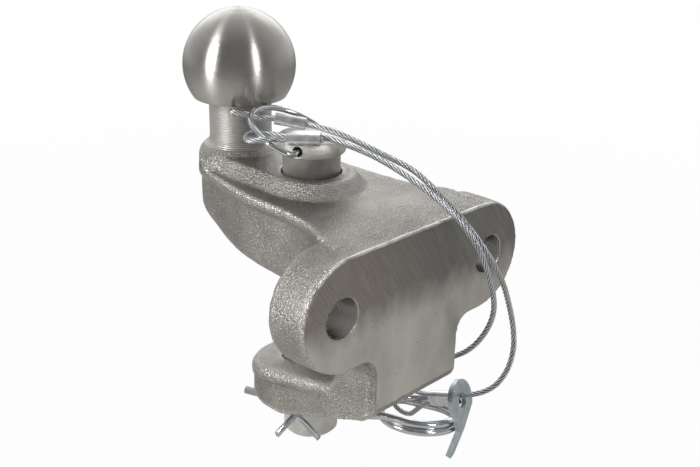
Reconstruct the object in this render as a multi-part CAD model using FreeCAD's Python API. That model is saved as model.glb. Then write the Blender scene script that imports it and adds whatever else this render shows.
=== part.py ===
"""Combined ball and pin tow hitch: one steel forging with two bolting ears, a reaching arm that
carries the towing ball, and a lower jaw. A drop pin passes through arm and jaw. A wire ring in the
pin's head holds two wire-rope tethers, which end on the pin's spring clip.

Frame: origin centred between the two bolt holes on the machined face, +X along the holes, +Y back
from the face towards the ball, +Z up. Millimetres.
"""
import FreeCAD
import Part
import math
import os

V = FreeCAD.Vector
os.makedirs("parts", exist_ok=True)

# Bolting flange
HOLE_X = 45.0
HOLE_D = 17.0
EAR_R = 24.5
EAR_X = 65.9
FLANGE_T = 20.8
FLANGE_BACK_R = 3.5
TAB_SIDES = (-27.0, 28.0)
TAB_CORNER_R = 7.5
# Rounding of the front edges: depth, share of the inset, then the insets of ears and tab
FRONT_STEPS = ((0.0, 1.0), (0.7, 0.45), (3.4, 0.0))
EAR_INSET = 1.0
TAB_INSET = 3.2
# Arm: half widths at stations behind the face, and the round end under the ball
ARM_PLAN = ((42.0, 8.0, 0.0), (39.2, 20.5, 7.0), (33.8, 31.0, 40.0), (31.4, 47.0, 60.0), (30.5, 75.0, 60.0))
ARM_END_R = 23.2
ARM_TAPER = math.radians(13.35)
RIM_H = 4.0
RIM_PROUD = 0.9
ARM_DRAFT = 2.6
ARM_EDGE_R = 6.5
# Side profile of the whole forging (distance behind the face, height)
TOP = ((0.0, 25.0, 0.0), (20.0, 27.0, 60.0), (60.0, 27.4, 90.0), (135.0, 27.4, 0.0))
UNDER = ((135.0, 4.6, 0.0), (114.0, 3.6, 16.0), (88.0, -4.3, 60.0), (56.0, -7.1, 90.0), (23.0, -8.0, 12.0))
JAW_TOP_FRONT = (23.0, -45.8, 10.0)
JAW_TOP_BACK = (100.0, -61.2, 0.0)
JAW_FLOOR_Z = -73.9
JAW_FLOOR_FRONT = (56.5, -73.9, 16.0)
JAW_NOSE = (0.0, -53.0, 10.8)
JAW_END_R = 27.0
JAW_LIP = 0.7
JAW_EDGE_R = 3.2
JAW_PARTING = ((-5.0, -45.7), (100.0, -66.6))
# Raised pad on the arm
PAD_Z = 33.5
PAD_SLOPE = 5.5
PAD_FRONT = (61.0, 22.5)
PAD_BACK = (104.0, 21.7)
PAD_EDGE_R = 2.0
# Ball and neck
BALL_Y = 109.0
BALL_R = 25.0
BALL_Z = 71.4
BALL_CUT_Z = 57.4
BALL_FLAT_R = 4.0
NECK_R = 14.0
SHOULDER = ((14.0, 38.0), (15.4, 36.3), (19.0, 33.4), (21.6, 30.0))
# Drop pin
PIN_Y = 63.2
BORE_D = 26.0
PIN_D = 24.96
PIN_TOP = 42.0
PIN_BOTTOM = -93.4
HEAD_D = 29.4
HEAD_H = 7.1
HEAD_HOLE_D = 4.6
HEAD_HOLE_Z = 45.6
HEAD_HOLE_TURN = 22.0
CLIP_HOLE_D = 4.5
CLIP_Z = -83.6
CLIP_RISE = 1.23
CLIP_TURN = 17.35
CLIP_DROOP = 8.26
SPLIT_HOLE_D = 4.3
SPLIT_Z = -79.5
SPLIT_TURN = 201.0
# Wire sizes
RING_WIRE = 2.5
CLIP_WIRE = 3.6
SPLIT_WIRE = 1.85
ROPE_D = 2.5
# Ring in the pin's head: straight bar, round back, tilt above level
RING_R = 19.6
RING_SIDE = -2.4
RING_DEEP = 8.0
RING_CORNER = 3.6
RING_TILT = 25.3
# Spring clip: coil centre along and across the straight leg
COIL_ALONG = 46.7
COIL_ACROSS = 19.6
COIL_R = 17.8
COIL_PITCH = 3.66
COIL_UP = 3.3
LEG_END = -35.3
# Split pin: side, heading, droop and length of each leg
SPLIT_LEGS = ((-1, 195.0, 7.5, 16.5), (1, 262.0, 14.0, 14.5))
SPLIT_BEND_R = 3.6
SPLIT_EYE_R = 4.0
# Anchor lug
LUG_T = 2.4
LUG_HEAD_R = 9.8
LUG_NECK = 2.6
LUG_TAIL_R = 2.4
LUG_HOLE_D = 7.2
LUG_REACH = 15.0
LUG_TAIL = 14.5
LUG_SHOULDER = 4.6
LUG_LEAN = 20.0
LUG_BEND = 33.0
LUG_FACE = (0.240, -0.925, 0.290)
LUG_DROP = 1.9
LUG_BEHIND = 2.9
# Rope ferrules
FERRULE_L = 13.3
FERRULE_R = 2.5
BARREL_GAP = 3.2


def unit(x, y, z):
    """A direction of length one."""
    vector = V(x, y, z)
    return vector.normalize()


def corner(before, at, after, radius):
    """Start, middle, end, centre and turn of the arc that rounds a corner."""
    back = (before - at).normalize()
    ahead = (after - at).normalize()
    half = back.getAngle(ahead) / 2
    middle = (back + ahead).normalize()
    centre = at + middle * (radius / math.sin(half))
    reach = radius / math.tan(half)
    return at + back * reach, centre - middle * radius, at + ahead * reach, centre, math.pi - 2 * half


def loop(corners):
    """A closed wire through the corners, each one (point, radius), rounded where it has a radius."""
    edges = []
    ends = []
    count = len(corners)
    for i, (point, radius) in enumerate(corners):
        if radius == 0:
            ends.append((point, point))
            continue
        after = corners[(i + 1) % count][0]
        start, middle, end, centre, turn = corner(corners[i - 1][0], point, after, radius)
        ends.append((start, end))
        edges.append(Part.Arc(start, middle, end).toShape())
    for i in range(count):
        start = ends[i - 1][1]
        end = ends[i][0]
        if start.distanceToPoint(end) > 1e-4:
            edges.append(Part.LineSegment(start, end).toShape())
    return Part.Wire(Part.__sortEdges__(edges))


def rod(points, radii, diameter):
    """Round bar along straight runs and tangent arcs; gives its solid and its length."""
    radius = diameter / 2
    pieces = []
    length = 0.0
    start = points[0]
    for i in range(1, len(points)):
        end = points[i]
        arc = None
        if i < len(points) - 1:
            arc = corner(points[i - 1], points[i], points[i + 1], radii[i - 1])
            end = arc[0]
        way = end - start
        if way.Length > 1e-3:
            pieces.append(Part.makeCylinder(radius, way.Length, start, way))
            length += way.Length
        if arc is None:
            continue
        axis = (arc[0] - arc[3]).cross(arc[2] - arc[3])
        disc = Part.Face(Part.Wire(Part.Circle(arc[0], points[i] - points[i - 1], radius).toShape()))
        pieces.append(disc.revolve(arc[3], axis, math.degrees(arc[4])))
        length += radii[i - 1] * arc[4]
        start = arc[2]
    return pieces[0].multiFuse(pieces[1:]).removeSplitter(), length


def easy_radii(points):
    """The largest radii that a rope's route allows: 0.45 of the shorter run at each corner."""
    radii = []
    for before, at, after in zip(points, points[1:], points[2:]):
        run = min(before.distanceToPoint(at), at.distanceToPoint(after))
        turn = math.pi - (before - at).getAngle(after - at)
        radii.append(0.45 * run / math.tan(turn / 2))
    return radii


def rope(name, points):
    """A wire rope as a plain round tube, with its radii and its volume printed."""
    radii = easy_radii(points)
    solid, length = rod(points, radii, ROPE_D)
    print(name, "arc radii", " ".join("%.1f" % r for r in radii))
    print(name, "length %.1f" % length, "volume %.1f" % solid.Volume,
          "section x length %.1f" % (math.pi * ROPE_D ** 2 / 4 * length))
    return solid


def arm_plan(inset, z):
    """The arm seen from above, drawn in by the inset, as a wire at the height z."""
    right = [(x - inset, y, r) for x, y, r in ARM_PLAN]
    tip = ARM_PLAN[-1][1] + (ARM_PLAN[-1][0] - inset) / math.tan(ARM_TAPER)
    corners = [(V(-x, y, z), r) for x, y, r in right]
    corners.append((V(0, tip, z), ARM_END_R - inset))
    corners += [(V(x, y, z), r) for x, y, r in reversed(right)]
    return loop(corners)


def side_slab(corners, half):
    """A slab across X whose outline is drawn in the side view."""
    wire = loop([(V(-half, y, z), r) for y, z, r in corners])
    return Part.Face(wire).extrude(V(2 * half, 0, 0))


def pad_plan(front, back, z):
    """Two circles and their common tangents, as a wire."""
    (y1, r1), (y2, r2) = front, back
    lean = math.asin((r1 - r2) / (y2 - y1))
    x1, x2 = r1 * math.cos(lean), r2 * math.cos(lean)
    up1, up2 = y1 + r1 * math.sin(lean), y2 + r2 * math.sin(lean)
    return Part.Wire([
        Part.Arc(V(x1, up1, z), V(0, y1 - r1, z), V(-x1, up1, z)).toShape(),
        Part.LineSegment(V(-x1, up1, z), V(-x2, up2, z)).toShape(),
        Part.Arc(V(-x2, up2, z), V(0, y2 + r2, z), V(x2, up2, z)).toShape(),
        Part.LineSegment(V(x2, up2, z), V(x1, up1, z)).toShape()])


def flange_outline(y, ear_inset, tab_inset):
    """The flange's outline at the depth y: two round ears and the tab below."""
    floor = JAW_NOSE[1] - 6
    half, high = EAR_X - ear_inset, EAR_R - ear_inset
    left, right = TAB_SIDES[0] + tab_inset, TAB_SIDES[1] - tab_inset
    round_tab = TAB_CORNER_R + ear_inset
    return loop([
        (V(-half, y, high), high), (V(half, y, high), high), (V(half, y, -high), high),
        (V(right, y, -high), round_tab), (V(right, y, floor), 0.0), (V(left, y, floor), 0.0),
        (V(left, y, -high), round_tab), (V(-half, y, -high), high)])


def flange():
    """Two round ears and the tab between them, standing on the machined face."""
    front = [flange_outline(y, EAR_INSET * share, TAB_INSET * share) for y, share in FRONT_STEPS]
    depth = FRONT_STEPS[-1][0]
    slab = Part.Face(front[-1]).extrude(V(0, FLANGE_T - depth, 0))
    floor = slab.BoundBox.ZMin
    back = [e for e in slab.Edges if e.BoundBox.YMin > FLANGE_T - 0.01 and e.BoundBox.ZMax > floor + 1]
    slab = slab.makeFillet(FLANGE_BACK_R, back)
    return slab.fuse(Part.makeLoft(front, True, True))


def forging():
    """The whole steel forging: flange, arm, jaw, pad, neck and ball, with its bores."""
    profile = list(TOP) + list(UNDER) + [JAW_TOP_FRONT, JAW_TOP_BACK, (JAW_TOP_BACK[0], JAW_FLOOR_Z, 0.0),
                                         JAW_FLOOR_FRONT, JAW_NOSE]
    side = side_slab(profile, EAR_X + 5)
    low = -30.0
    wall = Part.makeLoft([arm_plan(RIM_PROUD, TOP[-1][1] + 4), arm_plan(ARM_DRAFT, low)], True, True)
    arm = wall.common(side)
    under = [e for e in arm.Edges if is_under_edge(e)]
    arm = arm.makeFillet(ARM_EDGE_R, under)
    band = [(y, z, r) for y, z, r in TOP] + [(y, z - RIM_H, r) for y, z, r in reversed(TOP)]
    rim = Part.Face(arm_plan(0.0, 0.0)).extrude(V(0, 0, 40)).common(side_slab(band, 60))
    jaw = jaw_block(side)
    body = flange().common(side).fuse([arm, rim, jaw, pad()])
    body = body.fuse([neck_and_ball()])
    for x in (-HOLE_X, HOLE_X):
        body = body.cut(Part.makeCylinder(HOLE_D / 2, 40, V(x, -5, 0), V(0, 1, 0)))
    body = body.cut(Part.makeCylinder(BORE_D / 2, 140, V(0, PIN_Y, -100), V(0, 0, 1)))
    return body.removeSplitter()


def is_under_edge(edge):
    """True for the arm's lower side edges behind the flange."""
    box = edge.BoundBox
    point = edge.valueAt((edge.FirstParameter + edge.LastParameter) / 2)
    return point.y > 24 and point.z < 12 and box.ZMax < 13 and abs(point.x) > 0.5 and box.YLength > 1


def jaw_block(side):
    """The lower jaw: round end, soft top edge, and a parting line along its side."""
    block = Part.Face(jaw_plan(0.0)).extrude(V(0, 0, 45)).common(side)
    rim = [e for e in block.Edges if is_jaw_rim(e)]
    block = block.makeFillet(JAW_EDGE_R, rim)
    (y1, z1), (y2, z2) = JAW_PARTING
    below = side_slab([(y1, z1, 0.0), (y2, z2, 0.0), (y2, -90.0, 0.0), (y1, -90.0, 0.0)], 40)
    core = Part.Face(jaw_plan(JAW_LIP)).extrude(V(0, 0, 45))
    return block.cut(below.cut(core))


def is_jaw_rim(edge):
    """True for the edges between the jaw's top and its sides, behind the throat."""
    box = edge.BoundBox
    point = edge.valueAt((edge.FirstParameter + edge.LastParameter) / 2)
    return point.y > 36 and point.z > -62 and box.YLength > 1 and box.ZMax < -47


def jaw_plan(inset):
    """The jaw seen from above, as a wire well below it."""
    half = JAW_END_R - inset
    low = JAW_FLOOR_Z - 6
    end = Part.Arc(V(-half, PIN_Y, low), V(0, PIN_Y + half, low), V(half, PIN_Y, low)).toShape()
    corners = [V(half, PIN_Y, low), V(half, 42, low), V(JAW_END_R, FLANGE_T, low), V(JAW_END_R, 3, low),
               V(-JAW_END_R, 3, low), V(-JAW_END_R, FLANGE_T, low), V(-half, 42, low), V(-half, PIN_Y, low)]
    return Part.Wire([end] + [Part.LineSegment(a, b).toShape() for a, b in zip(corners, corners[1:])])


def pad():
    """The raised boss round the bore: sloped sides and a flat top with a soft edge."""
    low = TOP[-1][1] - 1.0
    drop = PAD_SLOPE * (PAD_Z - low) / (PAD_Z - TOP[-1][1])
    base = pad_plan((PAD_FRONT[0], PAD_FRONT[1] + drop - PAD_SLOPE), (PAD_BACK[0], PAD_BACK[1]), low)
    top_back = (PAD_BACK[0] + 1.5, PAD_BACK[1] - PAD_SLOPE + 1.2)
    top = pad_plan((PAD_FRONT[0], PAD_FRONT[1] - PAD_SLOPE), top_back, PAD_Z)
    block = Part.makeLoft([base, top], True, True)
    rim = [e for e in block.Edges if e.BoundBox.ZMin > PAD_Z - 0.01]
    return block.makeFillet(PAD_EDGE_R, rim)


def neck_and_ball():
    """The turned neck with its shoulder, and the ball cut flat below and at the crown."""
    low = TOP[-1][1] - 2
    crown = BALL_Z + math.sqrt(BALL_R ** 2 - BALL_FLAT_R ** 2)
    flat = math.sqrt(BALL_R ** 2 - (BALL_Z - BALL_CUT_Z) ** 2)
    points = [V(0, 0, low)] + [V(r, 0, z) for r, z in reversed(SHOULDER)]
    points[1:1] = [V(SHOULDER[-1][0], 0, low)]
    points += [V(NECK_R, 0, BALL_CUT_Z), V(flat, 0, BALL_CUT_Z)]
    edges = [Part.LineSegment(a, b).toShape() for a, b in zip(points, points[1:])]
    edges.append(Part.Arc(V(flat, 0, BALL_CUT_Z), V(BALL_R, 0, BALL_Z), V(BALL_FLAT_R, 0, crown)).toShape())
    edges.append(Part.LineSegment(V(BALL_FLAT_R, 0, crown), V(0, 0, crown)).toShape())
    edges.append(Part.LineSegment(V(0, 0, crown), V(0, 0, low)).toShape())
    turned = Part.Face(Part.Wire(edges)).revolve(V(0, 0, 0), V(0, 0, 1), 360)
    at_cut = [e for e in turned.Edges if abs(e.BoundBox.ZMax - BALL_CUT_Z) < 0.01]
    lower = [e for e in at_cut if e.BoundBox.XMax > NECK_R + 1]
    turned = turned.makeFillet(2.5, lower)
    turned.translate(V(0, BALL_Y, 0))
    limit = Part.Face(arm_plan(0.3, low)).extrude(V(0, 0, BALL_Z - low - 35))
    top = Part.makeBox(80, 80, 90, V(-40, BALL_Y - 40, limit.BoundBox.ZMax))
    return turned.common(limit.fuse(top))


def tow_pin():
    """The drop pin with its collar head, the ring hole, and the clip and split-pin holes."""
    shaft = Part.makeCylinder(PIN_D / 2, PIN_TOP - PIN_BOTTOM + 1, V(0, PIN_Y, PIN_BOTTOM))
    foot = [e for e in shaft.Edges if e.BoundBox.ZMax < PIN_BOTTOM + 0.01]
    shaft = shaft.makeChamfer(1.6, foot)
    head = Part.makeCylinder(HEAD_D / 2, HEAD_H, V(0, PIN_Y, PIN_TOP))
    head = head.makeChamfer(0.8, [e for e in head.Edges if e.Length > 50])
    pin = shaft.fuse(head).removeSplitter()
    for diameter, z, turn in ((HEAD_HOLE_D, HEAD_HOLE_Z, HEAD_HOLE_TURN), (SPLIT_HOLE_D, SPLIT_Z, SPLIT_TURN),
                              (CLIP_HOLE_D, CLIP_Z, CLIP_TURN - 90)):
        way = V(math.cos(math.radians(turn)), math.sin(math.radians(turn)), 0)
        pin = pin.cut(Part.makeCylinder(diameter / 2, 60, V(0, PIN_Y, z) - way * 30, way))
    return pin


def ring_frame():
    """Origin, bar direction and reach direction of the ring's plane."""
    turn, tilt = math.radians(HEAD_HOLE_TURN), math.radians(RING_TILT)
    bar = V(math.cos(turn), math.sin(turn), 0)
    reach = V(-math.sin(turn) * math.cos(tilt), math.cos(turn) * math.cos(tilt), math.sin(tilt))
    return V(0, PIN_Y, HEAD_HOLE_Z), bar, reach


def head_ring():
    """The closed wire ring: a straight bar through the pin's head and a round back."""
    origin, bar, reach = ring_frame()

    def at(along, out):
        return origin + bar * along + reach * out

    span = math.sqrt((RING_R - RING_CORNER) ** 2 - (RING_DEEP - RING_CORNER) ** 2)
    shift = RING_R / (RING_R - RING_CORNER)
    ends = []
    for side in (-1, 1):
        middle = (RING_SIDE + side * span, RING_CORNER)
        far = (RING_SIDE + side * span * shift, RING_DEEP - (RING_DEEP - RING_CORNER) * shift)
        ends.append((middle, far))
    pieces = []
    normal = bar.cross(reach)
    start = at(ends[0][0][0], 0)
    disc = Part.Face(Part.Wire(Part.Circle(start, bar, RING_WIRE / 2).toShape()))
    pieces.append(disc.extrude(at(ends[1][0][0], 0) - start))
    for side, (middle, far) in zip((-1, 1), ends):
        foot = at(middle[0], 0)
        turn = math.atan2(far[0] - middle[0], middle[1] - far[1])
        disc = Part.Face(Part.Wire(Part.Circle(foot, bar, RING_WIRE / 2).toShape()))
        pieces.append(disc.revolve(at(*middle), normal, math.degrees(turn)))
    right = ends[1][1]
    left = ends[0][1]
    first = math.degrees(math.atan2(right[1] - RING_DEEP, right[0] - RING_SIDE))
    last = math.degrees(math.atan2(left[1] - RING_DEEP, left[0] - RING_SIDE)) % 360
    way = bar * -math.sin(math.radians(first)) + reach * math.cos(math.radians(first))
    disc = Part.Face(Part.Wire(Part.Circle(at(*right), way, RING_WIRE / 2).toShape()))
    pieces.append(disc.revolve(at(RING_SIDE, RING_DEEP), normal, last - first))
    return pieces[0].multiFuse(pieces[1:]).removeSplitter()


def clip_frame():
    """Origin, leg direction, side direction and coil axis of the spring clip."""
    turn, droop, rise = math.radians(CLIP_TURN), math.radians(CLIP_DROOP), math.radians(CLIP_RISE)
    along = V(math.sin(turn) * math.cos(rise), -math.cos(turn) * math.cos(rise), math.sin(rise))
    across = V(math.cos(turn) * math.cos(droop), math.sin(turn) * math.cos(droop), -math.sin(droop))
    return V(0, PIN_Y, CLIP_Z), along, across, along.cross(across)


def clip_point(along, across, up):
    """A point given in the spring clip's own directions."""
    origin, a, b, c = clip_frame()
    return origin + a * along + b * across + c * up


def safety_clip():
    """The spring clip: straight leg through the pin, one and a half turns, and the sprung leg."""
    near = COIL_ACROSS - COIL_R
    points = [(LEG_END, 0, 0), (18.0, 0, 0), (36.0, near, COIL_UP + 0.15)]
    radii = [16.0, 16.0]
    reach = COIL_R / math.cos(math.pi / 8)
    for step in range(12):
        angle = math.radians(-67.5 + 45 * step)
        up = COIL_UP - COIL_PITCH * (math.degrees(angle) + 90) / 360
        points.append((COIL_ALONG + reach * math.cos(angle), COIL_ACROSS + reach * math.sin(angle), up))
        radii.append(COIL_R * 0.985)
    low = COIL_UP - 1.53 * COIL_PITCH
    points += [(29.0, COIL_ACROSS + COIL_R, low), (17.0, 13.0, low - 1.1), (3.0, 15.9, low - 1.4),
               (-14.0, 15.6, low - 1.4)]
    radii += [8.0, 8.0, 14.0]
    points = [clip_point(*p) for p in points]
    solid, length = rod(points, radii, CLIP_WIRE)
    print("safety_clip length %.1f" % length)
    return solid


def split_leg(sign, heading, droop, length):
    """One half-round leg of the split pin, from the eye through the pin and bent aside."""
    turn = math.radians(SPLIT_TURN)
    way = V(math.cos(turn), math.sin(turn), 0)
    side = V(-way.y, way.x, 0) * sign
    up = V(0, 0, 1)
    radius = SPLIT_WIRE - 0.02
    start = V(0, PIN_Y, SPLIT_Z) - way * (PIN_D / 2 + 1.4) + side * 0.02
    half = Part.Face(Part.Wire([
        Part.Arc(start + up * radius, start + side * radius, start - up * radius).toShape(),
        Part.LineSegment(start - up * radius, start + up * radius).toShape()]))
    straight = way * (PIN_D + 2.6)
    inside = half.extrude(straight)
    half.translate(straight)
    flat = math.cos(math.radians(droop))
    heading = math.radians(heading)
    out = V(math.cos(heading) * flat, math.sin(heading) * flat, -math.sin(math.radians(droop)))
    bend = math.degrees(way.getAngle(out))
    axis = way.cross(out).normalize()
    hinge = start + straight + axis.cross(way) * SPLIT_BEND_R
    knee = half.revolve(hinge, axis, bend)
    half.rotate(hinge, axis, bend)
    return inside.fuse([knee, half.extrude(out * length)]).removeSplitter()


def split_pin():
    """The split pin: an eye on one side, two half-round legs bent aside on the other."""
    turn = math.radians(SPLIT_TURN)
    way = V(math.cos(turn), math.sin(turn), 0)
    start = V(0, PIN_Y, SPLIT_Z) - way * (PIN_D / 2 + 1.4)
    foot = start - way * (SPLIT_EYE_R - 0.9) - V(0, 0, SPLIT_WIRE - 0.02)
    eye = Part.makeCylinder(SPLIT_EYE_R, 2 * SPLIT_WIRE - 0.04, foot)
    hole = Part.makeCylinder(SPLIT_EYE_R - SPLIT_WIRE, 9, start - way * (SPLIT_EYE_R - 0.9) - V(0, 0, 4))
    eye = eye.cut(hole)
    round_edges = [e for e in eye.Edges if e.Curve.TypeId == "Part::GeomCircle"]
    rims = [e for e in round_edges if e.Curve.Radius > SPLIT_EYE_R - 0.1]
    eye = eye.makeFillet(1.2, rims)
    legs = [split_leg(*leg) for leg in SPLIT_LEGS]
    return eye.fuse(legs).removeSplitter()


class Crimp:
    """Where a ferrule sits: its centre, the way to its rope eye and its wide direction."""

    def __init__(self, centre, way, wide, live):
        self.centre = V(*centre)
        self.way = unit(*way)
        flat = V(*wide)
        self.wide = (flat - self.way * flat.dot(self.way)).normalize()
        self.live = live

    def at(self, along, aside, lift=0.0):
        """A point: along the ferrule towards the eye, aside towards the live rope, and lifted."""
        normal = self.way.cross(self.wide)
        return self.centre + self.way * along + self.wide * (aside * self.live) + normal * lift

    def body(self):
        """The double-barrel ferrule, still without its rope holes."""
        start = self.centre - self.way * (FERRULE_L / 2)
        across = self.wide * BARREL_GAP
        thick = self.way.cross(self.wide) * FERRULE_R
        low = start - across * 0.5 - thick
        web = Part.Face(Part.makePolygon([low, low + across, low + across + thick * 2, low + thick * 2, low]))
        barrels = [Part.makeCylinder(FERRULE_R, FERRULE_L, start + across * s, self.way) for s in (-0.5, 0.5)]
        return web.extrude(self.way * FERRULE_L).fuse(barrels).removeSplitter()


HALF = BARREL_GAP / 2
DEAD_END = -FERRULE_L / 2 - 1.3
EYE_START = FERRULE_L / 2 + 2.6

TOP_OUTER = Crimp((-3.2, 72.7, 53.5), (-0.648, 0.75, 0.15), (-0.70, -0.645, 0.30), 1)
TOP_INNER = Crimp((-12.2, 54.9, 51.9), (-0.62, 0.78, -0.02), (-0.76, -0.60, -0.08), -1)
LOW_OUTER = Crimp((35.7, 12.7, -73.1), (-0.163, 0.946, -0.287), (-0.35, -0.10, 0.93), 1)
LOW_INNER = Crimp((33.2, 42.0, -71.5), (-0.552, 0.344, -0.76), (0.2, 0.93, 0.3), 1)

# Each eye: along the ferrule, towards the live rope, and out of the ferrule's plane
TOP_OUTER_EYE = ((15.5, -6.6, -0.2), (26.0, -7.0, -0.2), (26.0, 2.2, -0.2), (15.4, -1.9, -1.3))
TOP_INNER_EYE = ((15.1, -6.9, 1.8), (24.2, -4.6, 0.0), (24.2, 4.8, -0.1), (15.5, 4.2, 0.0))
LOW_OUTER_EYE = ((24.8, -15.4, 6.8), (31.1, -19.3, 5.5), (39.2, -16.3, 7.9), (42.0, -10.2, 12.8),
                 (33.0, -7.9, 14.6))
LOW_INNER_EYE = ((17.0, -4.2, 0.0), (26.0, -4.4, 0.0), (27.4, 5.1, 1.8), (17.0, 4.2, 0.0))

OUTER_RUN = ((3.5, 49.5, 51.6), (5.6, 41.0, 49.5), (10.1, 28.5, 45.1), (13.3, 18.3, 41.9), (14.5, 8.4, 36.6),
             (15.6, -2.2, 29.5), (19.2, -10.4, 20.3), (25.7, -15.3, 8.4), (35.0, -15.7, -4.9), (44.0, -13.2, -18.7),
             (48.8, -13.0, -30.7), (49.5, -15.5, -42.0), (45.6, -15.7, -52.5), (40.5, -11.3, -61.8))
INNER_RUN = ((-3.6, 41.5, 51.0), (1.9, 31.6, 47.7), (6.0, 21.6, 43.3), (8.5, 12.0, 38.8), (10.2, 3.0, 34.6),
             (13.0, -6.6, 27.6), (16.8, -13.8, 17.9), (21.2, -16.7, 6.6), (26.9, -16.5, -5.5), (32.1, -14.6, -18.0),
             (33.5, -10.2, -29.6), (32.7, -3.3, -40.3), (33.3, 6.7, -48.3), (35.4, 18.0, -54.5), (35.2, 31.0, -58.5))


def tether(name, top, bottom, top_eye, run, bottom_eye):
    """One rope: dead end, eye round the ring, ferrule, free run, ferrule, eye on the clip, dead end."""
    points = [top.at(DEAD_END, -HALF), top.at(EYE_START, -HALF)]
    points += [top.at(*p) for p in top_eye]
    points += [top.at(EYE_START, HALF), top.at(-FERRULE_L / 2 - 3.0, HALF)]
    points += [V(*p) for p in run]
    points += [bottom.at(-FERRULE_L / 2 - 3.0, HALF), bottom.at(EYE_START, HALF)]
    points += [bottom.at(*p) for p in reversed(bottom_eye)]
    points += [bottom.at(EYE_START, -HALF), bottom.at(DEAD_END, -HALF)]
    return rope(name, points)


def anchor_lug(through):
    """The zinc lug strung on the outer rope: a pear-shaped plate with a rope hole and a tail bent back."""
    normal = unit(*LUG_FACE)
    wide = V(0, 0, 1).cross(normal).normalize()
    down = wide.cross(normal)

    def bent(degrees):
        angle = math.radians(degrees)
        along = down * math.cos(angle) - normal * math.sin(angle)
        return along, normal * math.cos(angle) + down * math.sin(angle)

    def strip(start, half_start, stop, half_stop, out):
        outline = [start - wide * half_start, start + wide * half_start, stop + wide * half_stop,
                   stop - wide * half_stop]
        slab = Part.Face(Part.makePolygon(outline + outline[:1])).extrude(out * LUG_T)
        slab.translate(out * (-LUG_T / 2))
        return slab

    slope, slope_face = bent(LUG_LEAN)
    back, face = bent(LUG_BEND)
    half = math.sqrt(LUG_HEAD_R ** 2 - LUG_SHOULDER ** 2)
    shoulder = through + down * LUG_SHOULDER
    knee = shoulder + slope * (LUG_REACH - LUG_SHOULDER)
    end = knee + back * LUG_TAIL
    head = Part.makeCylinder(LUG_HEAD_R, LUG_T, through - normal * (LUG_T / 2), normal)
    head = head.common(strip(through - down * 20, 20, shoulder, 20, normal))
    body = strip(shoulder, half, knee, LUG_NECK, slope_face)
    tail = strip(knee, LUG_NECK, end, LUG_TAIL_R, face)
    first = Part.makeCylinder(LUG_T / 2, 2 * half, shoulder - wide * half, wide)
    second = Part.makeCylinder(LUG_T / 2, 2 * LUG_NECK, knee - wide * LUG_NECK, wide)
    tip = Part.makeCylinder(LUG_TAIL_R, LUG_T, end - face * (LUG_T / 2), face)
    lug = head.fuse([body, first, second, tail, tip])
    return lug.cut(Part.makeCylinder(LUG_HOLE_D / 2, 20, through - normal * 10, normal)).removeSplitter()


def save(name, solid):
    """Writes one piece, and says if it isn't sound."""
    print(name, "volume %.1f" % solid.Volume, "solids", len(solid.Solids), "valid", solid.isValid())
    solid.exportStep("parts/" + name + ".step")


outer = tether("tether_outer", TOP_OUTER, LOW_OUTER, TOP_OUTER_EYE, OUTER_RUN, LOW_OUTER_EYE)
inner = tether("tether_inner", TOP_INNER, LOW_INNER, TOP_INNER_EYE, INNER_RUN, LOW_INNER_EYE)
lug_at = LOW_OUTER.at(-FERRULE_L / 2 - LUG_BEHIND, HALF) - V(0, 0, LUG_DROP)

save("hitch_body", forging())
save("tow_pin", tow_pin())
save("split_pin", split_pin())
save("head_ring", head_ring())
save("safety_clip", safety_clip())
save("tether_outer", outer)
save("tether_inner", inner)
save("ferrule_outer_top", TOP_OUTER.body().cut(outer))
save("ferrule_inner_top", TOP_INNER.body().cut(inner))
save("ferrule_outer_low", LOW_OUTER.body().cut(outer))
save("ferrule_inner_low", LOW_INNER.body().cut(inner))
save("anchor_lug", anchor_lug(lug_at))
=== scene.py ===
"""Looks for the combined ball and pin tow hitch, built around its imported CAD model."""
import math

import bpy
import numpy as np
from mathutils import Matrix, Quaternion, Vector


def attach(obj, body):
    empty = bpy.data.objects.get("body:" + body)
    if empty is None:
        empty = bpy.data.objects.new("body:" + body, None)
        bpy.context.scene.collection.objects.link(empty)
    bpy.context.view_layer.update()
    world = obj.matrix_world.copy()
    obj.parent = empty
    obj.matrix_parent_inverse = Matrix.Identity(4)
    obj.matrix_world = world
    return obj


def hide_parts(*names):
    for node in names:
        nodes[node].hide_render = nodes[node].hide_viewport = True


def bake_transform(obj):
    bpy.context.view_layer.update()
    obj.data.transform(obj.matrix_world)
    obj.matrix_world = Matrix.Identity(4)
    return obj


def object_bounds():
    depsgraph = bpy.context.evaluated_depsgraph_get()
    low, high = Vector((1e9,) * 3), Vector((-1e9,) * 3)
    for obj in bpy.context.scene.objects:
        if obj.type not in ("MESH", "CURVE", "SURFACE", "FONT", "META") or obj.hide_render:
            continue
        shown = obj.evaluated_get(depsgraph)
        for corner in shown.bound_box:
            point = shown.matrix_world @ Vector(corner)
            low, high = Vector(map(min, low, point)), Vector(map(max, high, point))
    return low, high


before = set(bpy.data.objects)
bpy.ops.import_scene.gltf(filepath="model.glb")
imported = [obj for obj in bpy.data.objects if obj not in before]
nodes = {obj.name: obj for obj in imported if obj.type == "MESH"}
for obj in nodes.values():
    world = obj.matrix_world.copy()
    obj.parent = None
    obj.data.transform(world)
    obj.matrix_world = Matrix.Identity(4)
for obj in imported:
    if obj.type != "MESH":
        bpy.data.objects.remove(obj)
cad_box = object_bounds()

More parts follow.
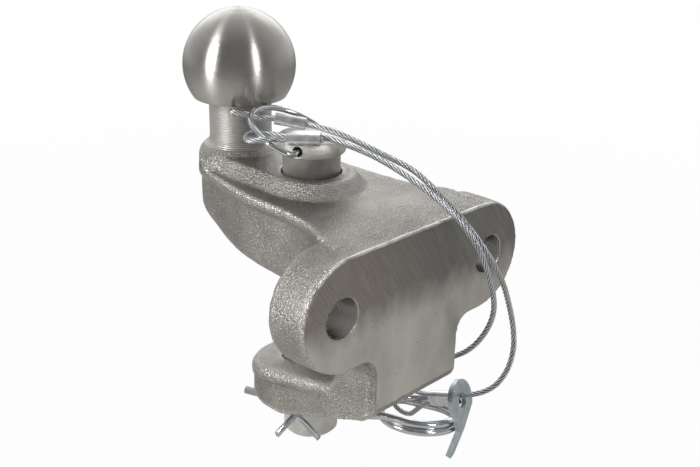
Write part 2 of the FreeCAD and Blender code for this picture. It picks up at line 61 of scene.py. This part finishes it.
# Camera
# It stands before the left ear and looks down on the bolting face, as the photograph was taken,
# rolled by one degree.
AZIMUTH, ELEVATION, ROLL = math.radians(-46.52), math.radians(22.14), math.radians(0.99)
back = Vector((math.sin(AZIMUTH) * math.cos(ELEVATION), -math.cos(AZIMUTH) * math.cos(ELEVATION),
               math.sin(ELEVATION)))
lens = bpy.data.cameras.new("camera")
lens.lens = 57.99
lens.sensor_width = 36
camera = bpy.data.objects.new("camera", lens)
camera.location = (-0.3210, -0.2646, 0.1906)
camera.rotation_mode = "QUATERNION"
camera.rotation_quaternion = (-back).to_track_quat("-Z", "Y") @ Quaternion((0, 0, 1), ROLL)
bpy.context.scene.collection.objects.link(camera)
bpy.context.scene.camera = camera
bpy.context.scene.view_settings.view_transform = "Standard"

# Floor and light
# A plain pale sweep: white to the camera, darker where the object's shadow falls. Soft boxes stand
# left, in front and far behind. The room is dim, and brighter behind the object, most of all where
# steel mirrors it, which gives the steel its bands.
MM = 0.001
FLOOR_R, FLOOR_GAP = 1.6, 0.0006


class Link:
    """A node's output that takes part in sums: each operator adds the Math node that works it out."""

    def __init__(self, tree, socket):
        self.tree = tree
        self.socket = socket

    def math(self, operation, *others):
        """This value and the others through one Math node."""
        node = self.tree.nodes.new("ShaderNodeMath")
        node.operation = operation
        for i, value in enumerate((self, *others)):
            if isinstance(value, Link):
                self.tree.links.new(value.socket, node.inputs[i])
            else:
                node.inputs[i].default_value = value
        return Link(self.tree, node.outputs[0])

    def __add__(self, other):
        return self.math("ADD", other)

    __radd__ = __add__

    def __mul__(self, other):
        return self.math("MULTIPLY", other)

    __rmul__ = __mul__

    def __sub__(self, other):
        return self.math("SUBTRACT", other)

    def __rsub__(self, other):
        return (self * -1) + other

    def clamped(self):
        """The value held between 0 and 1."""
        return self.math("MAXIMUM", 0).math("MINIMUM", 1)

    def step(self, low, high):
        """0 below low and 1 above high, in a straight line between."""
        return ((self - low) * (1 / (high - low))).clamped()


def distance(across, along):
    """The root of the sum of two squares: how far a place is from where both values are 0."""
    return (across.math("POWER", 2.0) + along.math("POWER", 2.0)).math("SQRT")


class Network:
    """A node tree, to which one method adds the nodes."""

    def __init__(self, tree):
        self.tree = tree

    def node(self, kind, settings=None, output=0, **inputs):
        """Adds a node with its settings, then its inputs' values or links; gives one of its outputs."""
        node = self.tree.nodes.new(kind)
        for name, value in (settings or {}).items():
            setattr(node, name, value)
        self.fill(node, inputs)
        return Link(self.tree, node.outputs[output])

    def fill(self, node, inputs):
        """Sets or links a node's inputs by name, with _ for a space; i0 or i1 counts them instead."""
        for name, value in inputs.items():
            socket = node.inputs[int(name[1:]) if name[1:].isdigit() else name.replace("_", " ")]
            if isinstance(value, Link):
                self.tree.links.new(value.socket, socket)
            else:
                socket.default_value = value


class Finish(Network):
    """A surface finish: a material whose nodes read the object's own coordinates in millimetres."""

    def __init__(self, name, **shader):
        self.material = bpy.data.materials.new(name)
        self.material.use_nodes = True
        super().__init__(self.material.node_tree)
        self.shader = self.tree.nodes["Principled BSDF"]
        metres = self.node("ShaderNodeTexCoord", output="Object")
        self.place = self.node("ShaderNodeVectorMath", {"operation": "SCALE"}, Vector=metres, Scale=1 / MM)
        self.set(**shader)

    def set(self, **inputs):
        """Sets or links inputs of the surface shader."""
        self.fill(self.shader, inputs)

    def axes(self):
        """The x, y and z of the place, in millimetres."""
        split = self.node("ShaderNodeSeparateXYZ", i0=self.place)
        return [Link(self.tree, output) for output in split.socket.node.outputs]

    def noise(self, scale, detail=2.0, stretch=(1.0, 1.0, 1.0)):
        """Cloudy noise, scale lumps to the millimetre times each axis's stretch."""
        where = self.node("ShaderNodeVectorMath", {"operation": "MULTIPLY"}, i0=self.place, i1=stretch)
        return self.node("ShaderNodeTexNoise", Vector=where, Scale=scale, Detail=detail)

    def grains(self, size):
        """Cells of about size millimetres; gives the distance to each one's middle."""
        return self.node("ShaderNodeTexVoronoi", Vector=self.place, Scale=1 / size)

    def waves(self, scale, way, where=None, **inputs):
        """Even waves of dark and light, in bands along an axis or in rings round a place."""
        return self.node("ShaderNodeTexWave", way, Vector=where or self.place, Scale=scale, **inputs)

    def mix(self, share, first, second):
        """A colour between two."""
        first, second = ((*c, 1) if isinstance(c, tuple) else c for c in (first, second))
        return self.node("ShaderNodeMix", {"data_type": "RGBA"}, output=2, i0=share, i6=first, i7=second)

    def bump(self, height, depth, under=None):
        """Raises the surface by height, a share of depth in millimetres."""
        extra = {"Normal": under} if under else {}
        return self.node("ShaderNodeBump", Strength=1.0, Distance=depth * MM, Height=height, **extra)


bpy.ops.mesh.primitive_circle_add(vertices=64, radius=FLOOR_R, fill_type="NGON",
                                  location=(0, 0.05, cad_box[0].z - FLOOR_GAP))
floor = bpy.context.active_object
floor.name = "floor"
pale = Finish("pale_floor", Roughness=0.9)
far_out = distance(*pale.axes()[:2]).step(320.0, 700.0)
pale.set(Base_Color=pale.mix(far_out, (0.74, 0.73, 0.71), (0.12, 0.12, 0.12)))
seen = pale.node("ShaderNodeLightPath", output="Is Camera Ray") * (far_out * 0.03 + 0.97)
seen = seen + pale.node("ShaderNodeLightPath", output="Is Glossy Ray") * 0.06
white = pale.node("ShaderNodeEmission", Color=(1, 1, 1, 1), Strength=1.0)
lit = Link(pale.tree, pale.shader.outputs[0])
shown = pale.node("ShaderNodeMixShader", i0=seen, i1=lit, i2=white)
pale.fill(pale.tree.nodes["Material Output"], {"Surface": shown})
floor.data.materials.append(pale.material)

world = bpy.data.worlds.new("room")
world.use_nodes = True
bpy.context.scene.world = world
room = Network(world.node_tree)
facing = room.node("ShaderNodeVectorMath", {"operation": "DOT_PRODUCT"}, output="Value",
                   i0=room.node("ShaderNodeTexCoord", output="Generated"), i1=(-0.75, -0.66, 0.0))
seen = room.node("ShaderNodeLightPath", output="Is Camera Ray")
mirrored = room.node("ShaderNodeLightPath", output="Is Glossy Ray")
mirrored = mirrored + room.node("ShaderNodeLightPath", output="Is Transmission Ray")
dim = 0.27 - facing.step(-0.3, 0.8) * 0.08
strength = seen + (1 - seen) * dim + mirrored * (1 - facing.step(-0.7, 0.5)) * 0.45
room.fill(room.tree.nodes["Background"], {"Color": (1, 1, 1, 1), "Strength": strength})


def soft_box(name, place, aim, size, power):
    """A rectangular lamp at a place, turned to its aim."""
    lamp = bpy.data.lights.new(name, "AREA")
    lamp.shape = "RECTANGLE"
    lamp.size, lamp.size_y = size
    lamp.energy = power
    obj = bpy.data.objects.new(name, lamp)
    obj.location = place
    obj.rotation_euler = (Vector(aim) - Vector(place)).to_track_quat("-Z", "Y").to_euler()
    bpy.context.scene.collection.objects.link(obj)


soft_box("box_left", (-0.92, 0.29, 0.38), (0, 0.08, 0.04), (0.26, 0.62), 7.5)
soft_box("box_front", (-0.09, -0.86, 0.42), (0, 0.05, 0.04), (0.08, 0.60), 2.9)
soft_box("box_back", (1.25, 1.40, 1.05), (0, 0.05, 0), (2.6, 1.5), 13)

# Forging
# The hitch itself, one steel forging with shot-blasted skin: ears, arm, pad, neck and lower jaw.
# Only the bolting face, the bores, the neck and the ball are machined. Its proud edges carry a painted
# highlight, and a painted highlight runs as a thin bright line behind the face's upper rim.
VOXEL = 0.95
HOLE_X, HOLE_R, HOLE_END = 45.0, 8.5, 25.0
BALL_AT = np.array((0.0, 109.0, 71.4))
BALL_R, SUNK = 25.0, 0.5
PAD_TOP, BALL_LOW = 37.0, 56.5
NECK_R = 14.0
PIN_Y, CLEAR_OF_PIN = 63.2, 14.5
SHELF_Y, SHELF_LOW, SHELF_HALF = 4.2, 22.8, 44.0
RAMP_Z, RAMP_RISE, RAMP_FADE = 24.0, 0.225, 8
NEAR = 0.8


def lumps(places, size, seed):
    """Smooth noise from -1 to 1: the corners of a random lattice of this size, blended by soft steps."""
    grid = np.random.default_rng(seed).uniform(-1, 1, (64, 64, 64))
    scaled = places / size + 32.5
    cell = np.floor(scaled).astype(int)
    part = scaled - cell
    part = part * part * (3 - 2 * part)
    total = np.zeros(len(places))
    for corner in range(8):
        pick = np.array([corner & 1, corner >> 1 & 1, corner >> 2 & 1])
        weight = np.prod(np.where(pick, part, 1 - part), axis=1)
        where = (cell + pick) % 64
        total += weight * grid[where[:, 0], where[:, 1], where[:, 2]]
    return total


def merged_copy(name, node):
    """A copy of a CAD node with its loose triangles joined, and the same place."""
    mesh = nodes[node].data.copy()
    mesh.name = name
    mesh.materials.clear()
    piece = bpy.data.objects.new(name, mesh)
    bpy.context.scene.collection.objects.link(piece)
    weld = piece.modifiers.new("weld", "WELD")
    weld.merge_threshold = 0.004 * MM
    return piece


def applied(piece):
    """The piece with its modifiers made part of its mesh."""
    evaluated = piece.evaluated_get(bpy.context.evaluated_depsgraph_get())
    piece.data = bpy.data.meshes.new_from_object(evaluated)
    piece.modifiers.clear()
    return piece


def rows_of_three(items, key):
    """One vector of each of a mesh's items, as the rows of an array."""
    flat = np.empty(len(items) * 3)
    items.foreach_get(key, flat)
    return flat.reshape(-1, 3)


forging = merged_copy("forging", "hitch_body")
skin = forging.modifiers.new("skin", "REMESH")
skin.mode = "VOXEL"
skin.voxel_size = VOXEL * MM
soften = forging.modifiers.new("soften", "SMOOTH")
soften.factor = 0.5
soften.iterations = 3
mesh = applied(forging).data
mesh.shade_smooth()
co = rows_of_three(mesh.vertices, "co") / MM
normal = rows_of_three(mesh.vertex_normals, "vector")

# The softened bolting face is made flat again, and the two bolt holes round.
machined = (co[:, 1] < 0.5) & (normal[:, 1] < -0.9)
co[machined, 1] = 0
for centre_x in (-HOLE_X, HOLE_X):
    offset = co[:, [0, 2]] - (centre_x, 0)
    far = np.linalg.norm(offset, axis=1)
    inward = -(normal[:, [0, 2]] * offset).sum(axis=1) / np.maximum(far, 1e-6)
    bore = (abs(far - HOLE_R) < NEAR) & (inward > 0.85)
    co[np.ix_(bore, [0, 2])] = offset[bore] / far[bore, None] * HOLE_R + (centre_x, 0)
    machined |= bore

# The step across the arm's top is filled to a ramp, which runs out near the ears' ends.
shelf = (co[:, 2] > SHELF_LOW) & (normal[:, 2] > 0.25) & (abs(co[:, 1] - SHELF_Y) < 4)
ramp = RAMP_Z + RAMP_RISE * co[shelf, 1]
filled = np.clip((SHELF_HALF - abs(co[shelf, 0])) / RAMP_FADE, 0, 1)
co[shelf, 2] += np.maximum(ramp - co[shelf, 2], 0) * filled

# The ball's own skin is sunk a little, under the turned ball that is laid over it.
from_ball = co - BALL_AT
on_ball = (np.linalg.norm(from_ball, axis=1) > BALL_R - 2) & (co[:, 2] > BALL_LOW)
co[on_ball] -= normal[on_ball] * SUNK
on_neck = abs(np.hypot(from_ball[:, 0], from_ball[:, 1]) - NECK_R) < NEAR
on_neck &= (abs(normal[:, 2]) < 0.3) & (co[:, 2] > PAD_TOP)
in_bore = np.hypot(co[:, 0], co[:, 1] - PIN_Y) < CLEAR_OF_PIN
rough = ~(machined | on_ball | on_neck | in_bore)

# Edges stand proud of the level that is left when each point takes its neighbours' mean, seven times.
# How far they stand proud sets where the skin gets a painted highlight.
ends = np.empty(len(mesh.edges) * 2, dtype=int)
mesh.edges.foreach_get("vertices", ends)
ends = ends.reshape(-1, 2)
here, there = np.concatenate([ends, ends[:, ::-1]]).T
met = np.bincount(here, minlength=len(co))
level = co
for _ in range(7):
    level = np.stack([np.bincount(here, level[there, k], len(co)) / met for k in range(3)], axis=1)
proud = ((co - level) * normal).sum(axis=1)
painted_highlight_crest = np.clip((proud - 0.10) / 0.35, 0, 1)
mesh.attributes.new("painted_highlight_crest", "FLOAT", "POINT").data.foreach_set("value", painted_highlight_crest)

rolling = lumps(co, 9, 3) * 0.16 + lumps(co, 3.6, 4) * 0.11 + lumps(co, 1.7, 5) * 0.06
co[rough] += normal[rough] * rolling[rough, None]
mesh.vertices.foreach_set("co", (co * MM).ravel())
mesh.update()

blasted = Finish("blasted_forging")
x, y, z = blasted.axes()
fleck = blasted.noise(1.7, 3.0)
streak = blasted.noise(0.06, 5.0, stretch=(1.0, 1.0, 0.6))
painted_light_wobble = blasted.noise(0.11, 5.0, stretch=(1.0, 1.0, 0.45))
painted_highlight_crest = blasted.node("ShaderNodeAttribute", {"attribute_name": "painted_highlight_crest"}, output="Fac")

# Where the skin is milled, and where it is turned.
face_share = 1 - y.step(0.15, 0.55)
hole_far = distance(x.math("ABSOLUTE") - HOLE_X, z)
bore_share = (1 - hole_far.step(HOLE_R + 0.2, HOLE_R + 0.5)) * (1 - y.step(HOLE_END - 1, HOLE_END + 1))
neck_far = distance(x, y - BALL_AT[1])
neck_share = (1 - neck_far.step(NECK_R + 1.6, NECK_R + 4.5)) * z.step(PAD_TOP - 2.5, PAD_TOP - 0.5)
turned_share = (bore_share + neck_share).clamped()
smooth_share = (face_share + turned_share).clamped()

# The blasted skin: grey clouds with pale flecks and dark dints, and a painted highlight along its edges.
cloud = blasted.noise(0.055, 4.0).step(0.32, 0.68)
cast = blasted.mix(cloud, (0.268, 0.256, 0.232), (0.385, 0.372, 0.340))
cast = blasted.mix(fleck.step(0.54, 0.68) * 0.45, cast, (0.82, 0.81, 0.78))
cast = blasted.mix((1 - fleck.step(0.32, 0.46)) * 0.5, cast, (0.08, 0.075, 0.07))
cast = blasted.mix(painted_highlight_crest * (fleck.step(0.34, 0.62) * 0.6 + 0.10), cast, (0.86, 0.85, 0.82))
grit = blasted.noise(0.75, 4.0) * 0.55 + blasted.noise(2.3, 2.0) * 0.45 + blasted.grains(0.62) * 0.25

# The milled face: the cutter's arcs and leaning marks, a painted dark reflection over its upper half
# that turns browner to the left, and a few pits.
cutter = blasted.node("ShaderNodeVectorMath", {"operation": "ADD"}, i0=blasted.place,
                      i1=(130.0, 0.0, 210.0))
milled = blasted.waves(0.30, {"wave_type": "RINGS", "rings_direction": "SPHERICAL"}, cutter,
                       Distortion=2.2, Detail=2.0, Detail_Scale=0.06)
lean = blasted.node("ShaderNodeCombineXYZ", X=x * 0.83 + z * 0.56, Y=(x * 0.56 - z * 0.83) * 0.05)
tool = blasted.node("ShaderNodeTexNoise", Vector=lean, Scale=1.1, Detail=2.0)
face = blasted.mix(streak.step(0.34, 0.66), (0.47, 0.453, 0.412), (0.62, 0.60, 0.555))
face = blasted.mix(milled * 0.12, face, (0.62, 0.61, 0.58))
painted_dark_reflection = (z + (painted_light_wobble - 0.5) * 20.0 + (tool - 0.5) * 5.0).step(-12.0, 1.0)
leftward = (x * -1 + (painted_light_wobble - 0.5) * 30.0).step(-5.0, 40.0)
painted_reflection_tone = blasted.mix(leftward, (0.235, 0.228, 0.21), (0.28, 0.245, 0.225))
face = blasted.mix(painted_dark_reflection * (0.98 - tool.step(0.36, 0.62) * 0.16), face, painted_reflection_tone)
pits = (1 - blasted.grains(3.0).step(0.06, 0.12)) * 0.8
face = blasted.mix(pits, face, (0.10, 0.095, 0.085))

# The bores and the neck: turned bright, with fine rings, and painted shade deeper inside the bores.
rings = blasted.waves(0.30, {"wave_type": "BANDS", "bands_direction": "Y"}, Distortion=0.8) * bore_share
groove = blasted.waves(0.42, {"wave_type": "BANDS", "bands_direction": "Z"}, Distortion=0.15, Detail=0.0)
groove = groove * neck_share
bright = blasted.mix(streak, (0.47, 0.455, 0.43), (0.60, 0.585, 0.555))
# Painted highlight: a thin bright line just behind the face's upper rim, broken up by noise.
rim = y.step(0.05, 0.25) * (1 - y.step(0.9, 1.5)) * z.step(8.0, 16.0) * painted_light_wobble.step(0.36, 0.5)
colour = blasted.mix(face_share, cast, face)
colour = blasted.mix(rim, colour, (0.90, 0.89, 0.86))
colour = blasted.mix(turned_share, colour, bright)
# Painted shade inside the bores, growing with depth.
colour = blasted.mix(bore_share * y.step(0.0, 18.0) * (1 - rings * 0.6), colour, (0.05, 0.047, 0.042))

rough_cast = 0.44 - fleck * 0.24 - painted_highlight_crest * 0.06
rough_smooth = streak * 0.16 + 0.30 + painted_dark_reflection * 0.10 - bore_share * 0.14
scored = blasted.bump((milled * 0.05 + tool * 0.16) * face_share + groove * 0.9 + rings, 0.22)
blasted.set(Base_Color=colour, Metallic=0.92 + smooth_share * 0.06,
            Roughness=rough_cast + (rough_smooth - rough_cast) * smooth_share,
            Normal=blasted.bump(grit * (1 - smooth_share), 0.65, scored))
mesh.materials.append(blasted.material)
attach(forging, "hitch")
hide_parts("hitch_body")

# Ball
# The towing ball, 50 mm across, turned on the forging's neck and left as it came off the lathe:
# fine level grooves that draw a lamp out into an upright streak, and a small flat on top.
FLAT_R = 4.0
CUT_Z = 57.4
BALL_ROWS, BALL_COLUMNS = 150, 128
tilt = np.linspace(math.asin(FLAT_R / BALL_R), math.acos((CUT_Z - BALL_AT[2]) / BALL_R), BALL_ROWS)
profile = np.stack([BALL_R * np.sin(tilt), BALL_AT[2] + BALL_R * np.cos(tilt)], axis=1)
profile = np.vstack([[(FLAT_R * 0.6, profile[0, 1])], profile,
                     [(profile[-1, 0] * 0.94, CUT_Z - 0.4), (NECK_R - 1, CUT_Z - 1.2)]])


def grid_piece(name, points):
    """A piece from a grid of points, rows along it and columns round it, with flat ends."""
    rows, columns = points.shape[:2]
    index = np.arange(rows * columns).reshape(rows, columns)
    after = np.roll(index, -1, axis=1)
    faces = np.stack([index[:-1], after[:-1], after[1:], index[1:]], axis=-1).reshape(-1, 4).tolist()
    faces += [index[0][::-1].tolist(), index[-1].tolist()]
    mesh = bpy.data.meshes.new(name)
    mesh.from_pydata(points.reshape(-1, 3), [], faces)
    mesh.shade_smooth()
    piece = bpy.data.objects.new(name, mesh)
    bpy.context.scene.collection.objects.link(piece)
    return piece


def turned_points(profile, centre, columns):
    """A profile of radius and height carried round an upright axis."""
    angle = np.arange(columns) * 2 * np.pi / columns
    out = np.stack([np.cos(angle), np.sin(angle)], axis=1)
    flat = profile[:, 0][:, None, None] * out[None] + np.array(centre)
    high = np.repeat(profile[:, 1][:, None, None], columns, axis=1)
    return np.concatenate([flat, high], axis=-1) * MM


ball = grid_piece("ball", turned_points(profile[::-1], BALL_AT[:2], BALL_COLUMNS))
lathe = Finish("turned_ball", Metallic=1.0, Anisotropic=0.9, Anisotropic_Rotation=0.25)
grooves = lathe.noise(0.5, 3.0, stretch=(0.03, 0.03, 5.0))
wear = lathe.noise(0.06, 4.0)
lathe.set(Base_Color=lathe.mix(wear.step(0.3, 0.7), (0.42, 0.405, 0.375), (0.55, 0.535, 0.505)),
          Roughness=grooves * 0.14 + 0.21 + wear * 0.05, Normal=lathe.bump(grooves, 0.05))
ball.data.materials.append(lathe.material)
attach(ball, "hitch")

# Drop pin
# A turned steel pin with a disc head, dropped through arm and jaw to hold a towing eye. Its skin is
# satin from the lathe, with scratches where it slides.
pin = merged_copy("drop_pin_bar", "tow_pin")


def smoothed(piece, degrees):
    """Soft shading over the whole piece but for the edges sharper than an angle."""
    applied(piece)
    piece.data.shade_smooth()
    piece.data.set_sharp_from_angle(angle=math.radians(degrees))


smoothed(pin, 32)
satin = Finish("satin_pin", Metallic=0.9)
turning = satin.noise(0.6, 3.0, stretch=(0.05, 0.05, 4.0))
patch = satin.noise(0.16, 4.0)
scuff = satin.noise(0.9, 2.0, stretch=(1.0, 1.0, 0.1))
satin.set(Base_Color=satin.mix(patch.step(0.3, 0.7), (0.66, 0.645, 0.61), (0.86, 0.845, 0.81)),
          Roughness=turning * 0.14 + 0.38 + patch * 0.1,
          Normal=satin.bump(turning * 0.3 + scuff * 0.3 + satin.noise(1.4, 3.0), 0.22))
pin.data.materials.append(satin.material)
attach(pin, "drop_pin")
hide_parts("tow_pin")

# Ring, spring clip and split pin
# Bright zinc-plated wire: the ring hangs in the pin's head, the clip's straight leg locks the pin
# under the jaw, and the split pin's eye and bent legs stand out of the pin above the clip.
zinc = Finish("bright_zinc", Metallic=1.0, Roughness=0.16)
shade = zinc.noise(0.22, 3.0)
zinc.set(Base_Color=zinc.mix(shade.step(0.3, 0.7), (0.56, 0.59, 0.62), (0.80, 0.82, 0.84)),
         Roughness=shade * 0.12 + 0.10, Normal=zinc.bump(zinc.noise(1.3, 2.0), 0.03))
for name, node, body in (("ring", "head_ring", "pin_ring"), ("spring_clip", "safety_clip", "clip"),
                         ("cotter", "split_pin", "drop_pin")):
    wire = merged_copy(name, node)
    smoothed(wire, 40)
    wire.data.materials.append(zinc.material)
    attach(wire, body)
    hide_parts(node)

# Ferrules
# Aluminium sleeves of two barrels, pressed over both runs of a rope where its eye closes. The press
# leaves them bright and a little dented. The lower two move with the clip, the upper two with the pin.
pressed = Finish("pressed_aluminium", Metallic=1.0, Roughness=0.28)
dent = pressed.noise(0.4, 3.0)
pressed.set(Base_Color=pressed.mix(dent.step(0.3, 0.7), (0.66, 0.67, 0.68), (0.88, 0.89, 0.90)),
            Roughness=dent * 0.2 + 0.22, Normal=pressed.bump(dent, 0.12))
sleeves = {}
for node, body in (("ferrule_outer_top", "drop_pin"), ("ferrule_inner_top", "drop_pin"),
                   ("ferrule_outer_low", "clip"), ("ferrule_inner_low", "clip")):
    sleeve = sleeves[node] = merged_copy(node.replace("ferrule", "sleeve"), node)
    smoothed(sleeve, 40)
    sleeve.data.materials.append(pressed.material)
    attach(sleeve, body)
    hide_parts(node)

# Anchor lug
# A pressed strip of dull zinc-plated steel, strung on the outer rope by its hole, tail bent back.
# It is the CAD node itself, with this finish.
plated = Finish("dull_zinc", Metallic=0.9, Roughness=0.42)
bloom = plated.noise(0.2, 4.0)
plated.set(Base_Color=plated.mix(bloom.step(0.3, 0.7), (0.44, 0.50, 0.53), (0.62, 0.68, 0.71)),
           Roughness=bloom * 0.2 + 0.32, Normal=plated.bump(plated.noise(1.6, 3.0), 0.05))
nodes["anchor_lug"].data.materials.clear()
nodes["anchor_lug"].data.materials.append(plated.material)

# Wire-rope tethers
# Two galvanised steel ropes of six strands. Each goes from an eye round the ring in the pin's head
# over the left side of the face to an eye on the spring clip, so that pin and clip stay together.
ROPE_D = 2.5 * MM
STRANDS = 6
LAY = 15.0 * MM
STEP = 0.55 * MM
OUTER_ROUTE = (
    (3.0, 67.8, 51.8), (-8.1, 80.7, 54.4), (-8.7, 88.6, 53.7), (-15.2, 96.7, 55.1), (-21.6, 90.7, 57.9),
    (-12.3, 85.4, 54.0), (-10.3, 78.6, 55.4), (1.9, 64.4, 52.5), (3.5, 49.5, 51.6), (5.6, 41.0, 49.5),
    (10.1, 28.5, 45.1), (13.3, 18.3, 41.9), (14.5, 8.4, 36.6), (15.6, -2.2, 29.5), (19.2, -10.4, 20.3),
    (25.7, -15.3, 8.4), (35.0, -15.7, -4.9), (44.0, -13.2, -18.7), (48.8, -13.0, -30.7), (49.0, -14.5, -41.3),
    (45.0, -14.7, -51.8), (39.9, -10.3, -61.1), (36.6, 3.9, -68.9), (33.5, 21.7, -74.3), (46.7, 46.2, -84.2),
    (44.6, 53.7, -89.5), (43.2, 48.6, -95.9), (43.7, 39.7, -97.1), (44.2, 34.9, -91.4), (34.9, 21.1, -77.2),
    (37.7, 4.9, -72.2))
INNER_ROUTE = (
    (-8.5, 47.7, 51.9), (-19.2, 61.1, 51.6), (-27.1, 62.4, 52.8), (-30.8, 71.0, 51.0), (-23.5, 76.8, 51.7),
    (-18.6, 69.6, 51.9), (-16.7, 63.1, 51.8), (-4.9, 48.3, 52.2), (-3.6, 41.5, 51.0), (1.9, 31.6, 47.7),
    (6.0, 21.6, 43.3), (8.5, 12.0, 38.8), (10.2, 3.0, 34.6), (13.0, -6.6, 27.6), (16.8, -13.8, 17.9),
    (21.2, -16.7, 6.6), (26.9, -16.5, -5.5), (32.1, -14.6, -18.0), (33.5, -10.2, -29.6), (32.7, -3.3, -40.3),
    (33.3, 6.7, -48.3), (35.4, 18.0, -54.5), (35.2, 31.0, -58.5), (38.8, 40.2, -63.7), (28.4, 46.7, -78.1),
    (24.6, 51.8, -83.2), (20.5, 56.2, -91.9), (18.0, 46.8, -92.5), (23.0, 43.9, -85.6), (27.8, 43.7, -79.0),
    (37.3, 37.8, -65.9))


def smooth_line(name, route):
    """The even points, STEP apart, of a NURBS spline that has the route's points as its control points."""
    curve = bpy.data.curves.new(name, "CURVE")
    curve.dimensions = "3D"
    curve.resolution_u = 24
    spline = curve.splines.new("NURBS")
    spline.points.add(len(route) - 1)
    for point, place in zip(spline.points, route):
        point.co = (*(c * MM for c in place), 1)
    spline.order_u = 3
    spline.use_endpoint_u = True
    holder = bpy.data.objects.new(name, curve)
    mesh = bpy.data.meshes.new_from_object(holder)
    line = rows_of_three(mesh.vertices, "co")
    bpy.data.objects.remove(holder)
    bpy.data.meshes.remove(mesh)
    reach = np.concatenate([[0], np.cumsum(np.linalg.norm(np.diff(line, axis=0), axis=1))])
    at = np.linspace(0, reach[-1], round(reach[-1] / STEP) + 1)
    return np.stack([np.interp(at, reach, line[:, k]) for k in range(3)], axis=1)


def carried_frames(line):
    """Two directions across a line at each point, carried along it without twist."""
    way = np.gradient(line, axis=0)
    way /= np.linalg.norm(way, axis=1)[:, None]
    side = np.cross(way[0], (0.0, 0.0, 1.0))
    sides = []
    for direction in way:
        side = side - direction * (side @ direction)
        side = side / np.linalg.norm(side)
        sides.append(side)
    sides = np.array(sides)
    return sides, np.cross(way, sides)


def stranded(name, line, frames, first):
    """Six strands laid round a core: the rim of seven equal circles, turned once in each lay.

    The rim is the far side of the nearest outer circle, whose middle is two radii out."""
    columns = 8 * STRANDS
    angle = np.arange(columns) * 2 * np.pi / columns
    across = (angle + np.pi / STRANDS) % (2 * np.pi / STRANDS) - np.pi / STRANDS
    strand_r = ROPE_D / 6
    beyond = np.sqrt(np.maximum(strand_r ** 2 - (2 * strand_r * np.sin(across)) ** 2, 0))
    rim = 2 * strand_r * np.cos(across) + beyond
    turn = (first + np.arange(len(line)) * STEP) / LAY * 2 * np.pi
    around = angle[None] + turn[:, None]
    side, rise = frames
    out = np.cos(around)[..., None] * side[:, None] + np.sin(around)[..., None] * rise[:, None]
    piece = grid_piece(name, line[:, None] + out * rim[None, :, None])
    # crown is 1 on the strands' crowns and 0 in the grooves between them; the rope's finish paints shade into
    # the grooves.
    crown = np.tile((rim - rim.min()) / np.ptp(rim), len(line))
    piece.data.attributes.new("crown", "FLOAT", "POINT").data.foreach_set("value", crown)
    return piece


galvanised = Finish("galvanised_rope", Metallic=1.0)
worn = galvanised.noise(0.35, 3.0)
# Painted shade: the grooves between the strands are coloured near black.
crown = galvanised.node("ShaderNodeAttribute", {"attribute_name": "crown"}, output="Fac").step(0.15, 0.95)
wire = galvanised.mix(worn, (0.52, 0.54, 0.56), (0.80, 0.82, 0.84))
galvanised.set(Base_Color=galvanised.mix(crown, (0.035, 0.038, 0.04), wire),
               Roughness=worn * 0.2 + 0.26,
               Normal=galvanised.bump(galvanised.noise(6.0, 1.0), 0.06))


def tether(side, route):
    """One rope in five pieces: eye on the ring, three of the free run, eye on the clip."""
    line = smooth_line("tether_" + side, route)
    frames = carried_frames(line)
    control = np.array(route) * MM
    neck_top, neck_low = (control[6] + control[7]) / 2, (control[-9] + control[-8]) / 2
    cut_at = [int(np.argmin(np.linalg.norm(line - place, axis=1)))
              for place in (neck_top, control[14], control[17], neck_low)]
    cuts = [0, *cut_at, len(line) - 1]
    spans = dict(zip(("ring_eye", "upper_run", "front_run", "run", "clip_eye"), zip(cuts, cuts[1:])))
    pieces = {}
    for part, (start, stop) in spans.items():
        chosen = slice(start, stop + 1)
        piece = stranded("tether_%s_%s" % (side, part), line[chosen], [f[chosen] for f in frames],
                         start * STEP)
        piece.data.materials.append(galvanised.material)
        pieces[part] = piece
    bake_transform(pieces["ring_eye"])
    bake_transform(pieces["upper_run"])
    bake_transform(pieces["front_run"])
    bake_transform(pieces["run"])
    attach(pieces["clip_eye"], "clip")
    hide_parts("tether_" + side)
    for part, (start, stop) in spans.items():
        path = line[start:stop + 1]


tether("outer", OUTER_ROUTE)
tether("inner", INNER_ROUTE)
